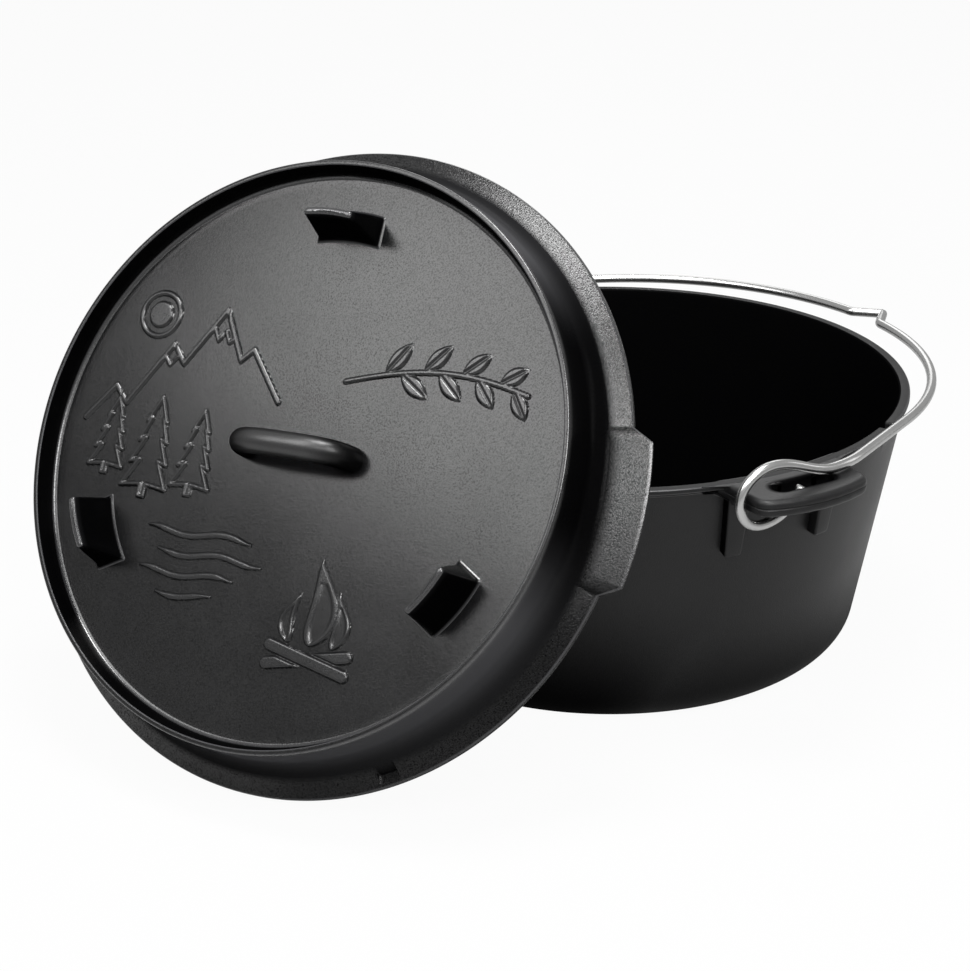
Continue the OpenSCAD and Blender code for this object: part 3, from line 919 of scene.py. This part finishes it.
class OVEN_OT_lid(bpy.types.Operator):
    """Turn the lid's half section about its axis, pull out the lugs and sink the flange notch"""

    bl_idname = "oven.lid"
    bl_label = "Lid"

    def execute(self, context):
        pot, lid = context.scene.oven_pot, context.scene.oven_lid
        angle = lid_columns(lid)[None, :]
        radius, height, wear_and_cove_light = (column[:, None] for column in lid_profile(lid).T)
        marks = lid_marks(lid, radius, height, wear_and_cove_light, angle)
        inner = lid.flange_radius - 0.0105  # from here out, rows follow the lugs
        pulled = (lug_reach(lid, angle) - inner) / (lid.flange_radius - inner)
        reach = np.where(radius > inner, inner + (radius - inner) * pulled, radius)
        height = height - lid.lug_fall * (reach - radius) * np.clip(height / lid.flange_edge, 0, 1)
        off = np.abs(wrapped(angle - lid.notch_bearing)) * lid.flange_radius
        cut = 1 - smooth(off, lid.notch_width / 2 - 0.0006, lid.notch_width / 2 + 0.0003)
        cut = cut * smooth(reach, lid.flange_radius - 0.0088, lid.flange_radius - 0.0083)
        floor = lid.flange_edge + 0.0006
        sunk = np.where(height > floor, floor + (height - floor) * 0.04, height)
        # Painted shade at the back of the flange notch
        back = 1 - smooth(reach, lid.flange_radius - 0.0064, lid.flange_radius - 0.0048)
        marks["soot_and_shade"] = np.maximum(marks["soot_and_shade"], SOOT_AND_SHADE["flange notch"] * cut * back)
        grid = stand(around(reach, height + cut * (sunk - height), angle), pot, lid)
        first, last = stand(
            np.array([[0, 0, tray_level(lid)], [0, 0, tray_level(lid) - lid.thick]]), pot, lid)
        piece = surface("lid_shell", grid, first=first, last=last, marks=marks)
        iron = iron_of("seasoned_lid_iron", context.scene.oven_finish)
        dress(piece, iron, "lid_body", "lid")
        return {"FINISHED"}


class OVEN_OT_feet(bpy.types.Operator):
    """Stand three tapered wedge feet on the tray, each bent round the lid's axis"""

    bl_idname = "oven.feet"
    bl_label = "Lid feet"

    def execute(self, context):
        pot, lid = context.scene.oven_pot, context.scene.oven_lid
        flare, end_round, edge_round, sunk = 0.0026, 0.0011, 0.0012, 0.0003
        rows = bar_rows(lid.foot_height, flare, end_round)
        share = rows[:, 0] / lid.foot_height
        half = (lid.foot_width + (lid.foot_end_width - lid.foot_width) * share) / 2 - rows[:, 1]
        deep = (lid.foot_thick + (lid.foot_end_thick - lid.foot_thick) * share) / 2 - rows[:, 1]
        u, v = box_ring(half, deep, np.minimum(edge_round, deep * 0.9), fill=12)
        level = np.broadcast_to(rows[:, :1] + tray_level(lid) - sunk, u.shape)
        tip = smooth(rows[:, 0], lid.foot_height - 0.0012, lid.foot_height - 0.0006)
        foot = 1 - smooth(rows[:, 0], 0.0002, 0.0010)
        bare = np.clip(tip + foot, 0, 1)[:, None]
        end = smooth(np.abs(u), half[:, None] - 0.0014, half[:, None] - 0.0004)
        iron = iron_of("seasoned_lid_iron", context.scene.oven_finish)
        for name, at, away, unshaded_ends in FEET:
            turn = math.radians(at)
            # Painted shade on the feet's faces; tip and base rows stay bare and worn, and end faces keep
            # the given share without it
            marks = {"soot_and_shade": SOOT_AND_SHADE["foot"] * (1 - bare) * (1 - unshaded_ends * end), "wear_and_cove_light": bare}
            radial = away + v - u**2 / (2 * lid.foot_bend)
            piece = capped(f"foot_{name}", stand(at_bearing(radial, u, level, turn), pot, lid), marks)
            dress(piece, iron, "lid_body")
        return {"FINISHED"}


def tube(path, frame_axis, radius, columns=24):
    """Points of a tube along a path: path + radius (cos a N + sin a B).

    N is the unit vector square to the path's direction and to the frame axis, B completes it.
    """
    along = unit(np.gradient(path, axis=0))
    side = unit(np.cross(along, frame_axis))
    over = np.cross(along, side)
    angle = np.linspace(0, 2 * np.pi, columns, endpoint=False)[None, :, None]
    ring = np.cos(angle) * side[:, None] + np.sin(angle) * over[:, None]
    return path[:, None] + ring * np.asarray(radius)[:, None, None]


class OVEN_OT_grip(bpy.types.Operator):
    """Bend the lid's loop handle as a round bar on a flat-topped oval, |x/a|^p + |z/b|^p = 1"""

    bl_idname = "oven.grip"
    bl_label = "Lid handle"

    def execute(self, context):
        pot, lid = context.scene.oven_pot, context.scene.oven_lid
        rows, columns, power, sunk = 110, 40, 2 / 3.1, 0.003
        turn = np.linspace(0, np.pi, 241)
        path = even(np.column_stack([
            -lid.grip_half * np.sign(np.cos(turn)) * np.abs(np.cos(turn)) ** power,
            np.full(len(turn), lid.grip_shift),
            tray_level(lid) - sunk + (lid.grip_height + sunk) * np.sin(turn) ** power]), rows)
        ring = tube(path, np.array([0.0, 1.0, 0.0]), np.full(rows, lid.grip_thick / 2), columns)
        angle = np.linspace(0, 2 * np.pi, columns, endpoint=False)
        lowest = angle[np.argmin(ring[rows // 2, :, 2])]
        # Painted shade on the handle's underside and on its ends near the tray
        under = 0.5 + 0.5 * np.cos(angle - lowest)[None]
        end = smooth(np.abs(path[:, :1]), lid.grip_half * 0.45, lid.grip_half * 0.95)
        soot_and_shade = SOOT_AND_SHADE["handle end"] * end + SOOT_AND_SHADE["handle underside"] * under**1.5
        piece = capped("lid_handle", stand(ring, pot, lid), {"soot_and_shade": np.clip(soot_and_shade, 0, 0.95)})
        iron = iron_of("smooth_handle_iron", context.scene.oven_finish)
        dress(piece, iron, "lid_body")
        return {"FINISHED"}


def off_line(x, y, corners):
    """Distance of each point from a line through the corners: the least over its straight pieces."""
    corners = np.asarray(corners, float)
    start, step = corners[:-1], np.diff(corners, axis=0)
    from_x, from_y = x[..., None] - start[:, 0], y[..., None] - start[:, 1]
    along = np.clip((from_x * step[:, 0] + from_y * step[:, 1]) / (step**2).sum(1), 0, 1)
    return np.hypot(from_x - along * step[:, 0], from_y - along * step[:, 1]).min(-1)


def pine_line(middle, base, tall):
    """Corners of a pine's outline, up its right side and down its left: a trunk and four tiers.

    Each tier starts wide and low, and runs in to 0.42 of its width at the next tier's start.
    """
    low = base + tall * np.array([0.12, 0.36, 0.58, 0.78, 1.0])
    wide = tall * np.array([0.26, 0.21, 0.16, 0.11, 0.0])
    starts = np.column_stack([wide[:4], low[:4] - 0.03 * tall])
    ends = np.column_stack([np.append(wide[:3] * 0.42, 0), low[1:]])
    trunk = [(0.03 * tall, base), (0.03 * tall, low[0])]
    right = np.concatenate([trunk, np.stack([starts, ends], 1).reshape(-1, 2)])
    left = right[::-1] * (-1, 1)
    return np.concatenate([right, left[1:], right[:1]]) + (middle, 0)


def leaf_margin(x, y, root, turn, long, wide):
    """How far inside a leaf a point is: half width wide x sin(pi a / long)^0.8 at a along it."""
    ahead = (x - root[0]) * math.cos(turn) + (y - root[1]) * math.sin(turn)
    aside = np.abs((y - root[1]) * math.cos(turn) - (x - root[0]) * math.sin(turn))
    half = wide * np.sin(np.pi * np.clip(ahead / long, 0, 1)) ** 0.8
    return half - aside, aside


def forest_relief(x, y):
    """Raised share from 0 to 1: hills as lines, pines in front of them, a sun and a shore."""
    hills = [(-126, 4), (-112, 22), (-104, 14), (-84, 46), (-76, 37), (-58, 66), (-44, 42), (-38, 48),
             (-18, 24)]
    caps = [[(-90, 36.4), (-87, 39), (-84, 35.5), (-81.5, 39), (-79, 40.4)],
            [(-66, 53.1), (-62.5, 56), (-59.5, 50.5), (-56, 55.5), (-53, 50), (-50, 52.3)]]
    raised = 1 - smooth(off_line(x, y, hills), 0.8, 1.9)
    for cap in caps:
        raised = np.maximum(raised, 1 - smooth(off_line(x, y, cap), 0.6, 1.5))
    pines = [(-108, -22, 38), (-83, -31, 50), (-57, -27, 42)]
    for middle, base, tall in pines:
        outline = pine_line(middle, base, tall)
        tiers = outline[: len(outline) // 2]
        inside = np.interp(y, np.maximum.accumulate(tiers[:, 1]), tiers[:, 0] - middle) - np.abs(x - middle)
        behind = smooth(-inside, -0.2, 1.0)
        raised = np.maximum(raised * behind, 1 - smooth(off_line(x, y, outline), 0.6, 1.5))
    sun = np.hypot(x + 96, y - 60)
    raised = np.maximum(raised, 1 - smooth(np.abs(sun - 11), 0.7, 1.7))
    raised = np.maximum(raised, 1 - smooth(sun, 6.0, 7.2))
    for level, left, right in ((-45, -74, -14), (-55, -66, -6), (-65, -74, -20), (-75, -62, -30)):
        taper = 1.1 * np.clip(np.minimum(x - left, right - x) / 9, 0, 1)
        wave = np.abs(y - level - 1.4 * np.sin(x / 6.5))
        raised = np.maximum(raised, smooth(taper + 0.9 - wave, 0, 1.1) * (taper > 0))
    return raised


def sprig_relief(x, y):
    """Raised share from 0 to 1: a bowed stem with paired leaves, each with a sunk middle vein."""
    stem = np.column_stack([np.linspace(16, 112, 25), 36 + 12 * np.sin(np.linspace(0.2, 2.6, 25))])
    raised = 1 - smooth(off_line(x, y, stem), 0.7, 1.7)
    for at, side in ((5, 1), (7, -1), (10, 1), (12, -1), (15, 1), (17, -1), (20, 1), (22, -1)):
        slope = math.atan2(*(stem[at + 1] - stem[at - 1])[::-1])
        margin, aside = leaf_margin(x, y, stem[at], slope + side * 0.75, 22 - 0.25 * at, 4.6)
        vein = 0.45 * (1 - smooth(aside, 0.3, 1.1))
        raised = np.maximum(raised, smooth(margin, 0, 1.5) * (1 - vein))
    return raised


def campfire_relief(x, y):
    """Raised share from 0 to 1: three flames, widest low down, over two crossed logs."""
    raised = 1 - smooth(off_line(x, y, [(8, -99), (50, -90)]), 2.2, 3.4)
    under = off_line(x, y, [(8, -90), (50, -99)])
    raised = np.maximum(raised * smooth(under, 3.6, 4.6), 1 - smooth(under, 2.2, 3.4))
    for middle, tall, wide, bend in ((29, 42, 8.6, 4), (17, 25, 4.6, -3), (41, 28, 5.0, 3)):
        up = np.clip((y + 88) / tall, 0, 1)
        half = wide * np.sin(np.pi * up**0.62) ** 0.9
        margin = half - np.abs(x - middle - bend * np.sin(up * 4.0))
        hollow = 0.6 * smooth(margin - 0.38 * wide, 0, 1.2) * (up < 0.72)
        raised = np.maximum(raised, smooth(margin, 0, 1.5) * (1 - hollow))
    return raised


# Name, height function and frame (left, right, low, high) of each picture, in millimetres on the tray
RELIEFS = (
    ("relief_forest", forest_relief, (-130, -4, -82, 76)),
    ("relief_sprig", sprig_relief, (10, 122, 20, 72)),
    ("relief_campfire", campfire_relief, (2, 56, -104, -42)),
)


class OVEN_OT_relief(bpy.types.Operator):
    """Raise three low pictures on the tray, as heights on a fine square grid with a thin back"""

    bl_idname = "oven.relief"
    bl_label = "Tray relief"

    def execute(self, context):
        pot, lid = context.scene.oven_pot, context.scene.oven_lid
        iron = iron_of("seasoned_lid_iron", context.scene.oven_finish)
        step, sunk, back = 0.45, 0.00005, 0.0004
        for name, picture, (left, right, low, high) in RELIEFS:
            x, y = np.meshgrid(np.arange(left, right, step), np.arange(low, high, step))
            raised = picture(x, y)
            level = tray_level(lid) - sunk + lid.relief * raised
            grid = stand(np.stack([x / 1000, y / 1000, level], -1), pot, lid)
            piece = patch(name, grid, raised, {"wear_and_cove_light": 0.35 * raised})
            shell = piece.modifiers.new("back", "SOLIDIFY")
            shell.thickness, shell.offset = back, -1.0
            dress(piece, iron, "lid_body")
        return {"FINISHED"}


# Bail


def arc_points(centre, radius, start, end, count):
    """Points of a plane arc from one angle to another."""
    angle = np.linspace(start, end, count)
    return np.column_stack([centre[0] + radius * np.cos(angle), centre[1] + radius * np.sin(angle)])


def bail_path(bail, ear, pot):
    """Centre line of the bent wire, from one hook's tip over the kink to the other's.

    Each half is a chain that meets in line: the hook's open end and lower half (arcs), its
    upper half (a quarter ellipse), a half cosine down to the rim, and in plan a bend, a straight
    arm, the main arc and the kink. The other half is its mirror image. A running mean eases the
    joins, except at the hooks' tips and at the kink.
    """
    count = 900
    wire = bail.wire / 2
    top = pot.height - ear.drop
    slot = pot.rim_radius + ear.reach * 0.41
    hinge = np.array([-(ear.half + ear.slot_half) / 2, top - ear.thick / 2])
    hook = math.hypot((ear.half - ear.slot_half) / 2, ear.thick / 2) + wire + bail.play
    level = pot.height + bail.gap + wire
    bottom = -math.pi / 2
    lower = arc_points(
        (hinge[0], hinge[1] - hook + bail.opening), bail.opening,
        bottom + bail.opening_sweep, bottom, 40)
    left = arc_points(hinge, hook, 1.5 * math.pi, math.pi, 30)
    lean = np.linspace(math.pi, math.pi / 2, 40)
    crown = hinge[0] + bail.loop_shift
    upper = np.column_stack(
        [crown + (hook + bail.loop_shift) * np.cos(lean), hinge[1] + bail.loop_height * np.sin(lean)])
    upright = np.concatenate([lower, left, upper])
    upright = np.column_stack([upright[:, 0], np.full(len(upright), slot), upright[:, 1]])
    turn = bail.turn
    arm = (slot - bail.radius * math.sin(turn) - bail.bend * (1 - math.sin(turn))) / math.cos(turn)
    start = hinge[0] + bail.start
    centre = start + arm * math.sin(turn) + bail.bend * math.cos(turn) - bail.radius * math.cos(turn)
    run = np.column_stack([np.linspace(crown, start, 40), np.full(40, slot)])
    bend = arc_points((start, slot - bail.bend), bail.bend, math.pi / 2, turn, 24)
    kink = math.asin(bail.kink_half / bail.radius)
    main = arc_points((centre, 0.0), bail.radius, turn, kink, 160)
    tip = np.array([main[-1, 0] + bail.kink_height, 0.0])
    last = fillet([main[-3], main[-1], tip, tip * (1, -1) - (0, bail.kink_half)], [0.004, 0.0035], 9)
    flat = even(np.concatenate([run, bend, main[:-3], last[:-6, :2]]), 400)
    fall = 0.5 + 0.5 * np.cos(np.pi * np.clip(run_along(flat) / bail.fall, 0, 1))
    flat = np.column_stack([flat, level + (upright[-1, 2] - level) * fall])
    half = np.concatenate([upright, flat])
    half = half[half[:, 1] > 1e-6]
    every = even(np.concatenate([half, (half * (1, -1, 1))[::-1]]), count)
    eased = np.column_stack(
        [np.convolve(np.pad(column, 4, "edge"), np.hanning(11)[1:-1] / 5, "valid") for column in every.T])
    from_end = np.minimum(np.arange(count), np.arange(count)[::-1])
    part = smooth(from_end, 4, 12) * smooth(np.abs(every[:, 1]), 0.020, 0.030)
    return every + (eased - every) * part[:, None]


class OVEN_OT_bail(bpy.types.Operator):
    """Carry the round wire section along the bail's centre line, with cut ends"""

    bl_idname = "oven.bail"
    bl_label = "Bail"

    def execute(self, context):
        scene = context.scene
        path = bail_path(scene.oven_bail, scene.oven_ear, scene.oven_pot)
        from_end = np.minimum(np.arange(len(path)), np.arange(len(path))[::-1])
        radius = scene.oven_bail.wire / 2 * np.interp(from_end, [0, 1], [0.8, 1.0])
        grid = tube(path, np.array([0.30, 0.52, 0.80]), radius, 28)
        piece = surface("bail_wire", grid, first=path[0], last=path[-1])
        steel = wire_finish("drawn_bright_wire", scene.oven_finish)
        dress(piece, steel, "bail_body", "bail")
        return {"FINISHED"}


# Stage


def placed(right, up, back, spot):
    """World matrix of an object with these three directions at a spot."""
    return Matrix([*zip(right, up, back, spot), (0, 0, 0, 1)])


def area_light(name, place, target, size, radiance):
    """Soft rectangular lamp at a place, turned to a target; watts are radiance x pi x area."""
    lamp = bpy.data.lights.new(name, "AREA")
    lamp.shape, lamp.size, lamp.size_y = "RECTANGLE", size[0], size[1]
    lamp.energy = radiance * math.pi * size[0] * size[1]
    thing = bpy.data.objects.new(name, lamp)
    away = unit(np.subtract(place, target))
    side = unit(np.cross((0.0, 0.02, 1.0), away))
    thing.matrix_world = placed(side, np.cross(away, side), away, place)
    bpy.context.scene.collection.objects.link(thing)


def floor_finish(colours):
    """Pale floor: matt, and whitened where the camera or a mirror looks at it."""
    finish = Finish(bpy.data.materials.new("pale_floor"))
    matt = finish.node("ShaderNodeBsdfDiffuse", None, {"Color": (*colours.ground, 1)})[0]
    white = finish.node("ShaderNodeEmission", None, {"Color": (1, 1, 1, 1), "Strength": 1.0})[0]
    seen = finish.seen_directly(0.955, 0.25)
    mixed = finish.node("ShaderNodeMixShader", None, {0: seen, 1: matt, 2: white})[0]
    return finish.done(mixed)


def studio_world():
    """Even soft light, and plain white where the camera or a mirror looks past the object."""
    finish = Finish(bpy.data.worlds.new("studio_world"))
    soft = finish.node("ShaderNodeBackground", None, {"Color": (1, 1, 1, 1), "Strength": 0.12})[0]
    white = finish.node("ShaderNodeBackground", None, {"Color": (1, 1, 1, 1), "Strength": 1.0})[0]
    mixed = finish.node(
        "ShaderNodeMixShader", None, {0: finish.seen_directly(1.0, 0.48), 1: soft, 2: white})[0]
    return finish.done(mixed, "ShaderNodeOutputWorld")


class OVEN_OT_stage(bpy.types.Operator):
    """Lay the floor, set the lamps, the world and the camera"""

    bl_idname = "oven.stage"
    bl_label = "Stage"

    def execute(self, context):
        scene = context.scene
        scene.view_settings.view_transform = "Standard"
        reach = np.linspace(0.02, 1, 24)[:, None] ** 1.5 * 9.0
        angle = np.linspace(0, 2 * np.pi, 96, endpoint=False)[None, :]
        top, under = -0.0002, -0.02
        grid = np.concatenate([around(reach, top, angle), around(reach[::-1], under, angle)])
        ground = surface("studio_floor", grid, first=(0, 0, top), last=(0, 0, under))
        ground.data.materials.append(floor_finish(scene.oven_finish))
        for name, lamp in LAMPS.items():
            area_light(name, *lamp)
        scene.world = studio_world()
        lens = bpy.data.cameras.new("photo_camera")
        lens.sensor_fit, lens.sensor_width = "HORIZONTAL", SENSOR
        lens.lens = SENSOR * FOCAL_PIXELS / PHOTO_WIDTH
        lens.clip_start, lens.clip_end = 0.05, 60.0
        camera = bpy.data.objects.new("photo_camera", lens)
        right = (0.86216, -0.50654, -0.01002)
        up = (0.19999, 0.32209, 0.92535)
        back = (-0.46549, -0.79980, 0.37899)
        spot = (-0.67214, -1.02634, 0.57899)
        camera.matrix_world = placed(right, up, back, spot)
        scene.collection.objects.link(camera)
        scene.camera = camera
        return {"FINISHED"}


class OVEN_PT_panel(bpy.types.Panel):
    """Sidebar panel that lists the pieces and the stage"""

    bl_idname = "OVEN_PT_panel"
    bl_label = "Camp Oven"
    bl_space_type = "VIEW_3D"
    bl_region_type = "UI"
    bl_category = "Camp Oven"

    def draw(self, context):
        for step in STEPS:
            self.layout.operator(step.bl_idname)
        for key in SIZES:
            group = getattr(context.scene, key)
            box = self.layout.box()
            for prop in group.bl_rna.properties:
                if not prop.is_readonly and prop.identifier != "name":
                    box.prop(group, prop.identifier)


STEPS = (
    OVEN_OT_pot, OVEN_OT_ears, OVEN_OT_ribs, OVEN_OT_lid, OVEN_OT_feet, OVEN_OT_grip,
    OVEN_OT_relief, OVEN_OT_bail, OVEN_OT_stage,
)


def register():
    for cls in (*SIZES.values(), *STEPS, OVEN_PT_panel):
        bpy.utils.register_class(cls)
    for key, group in SIZES.items():
        setattr(bpy.types.Scene, key, PointerProperty(type=group))


def unregister():
    for key in SIZES:
        delattr(bpy.types.Scene, key)
    for cls in reversed((*SIZES.values(), *STEPS, OVEN_PT_panel)):
        bpy.utils.unregister_class(cls)


def main():
    """Registers the add-on and runs every step in order."""
    register()
    bpy.ops.oven.pot()
    bpy.ops.oven.ears()
    bpy.ops.oven.ribs()
    bpy.ops.oven.lid()
    bpy.ops.oven.feet()
    bpy.ops.oven.grip()
    bpy.ops.oven.relief()
    bpy.ops.oven.bail()
    bpy.ops.oven.stage()
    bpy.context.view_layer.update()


if __name__ == "__main__":
    main()
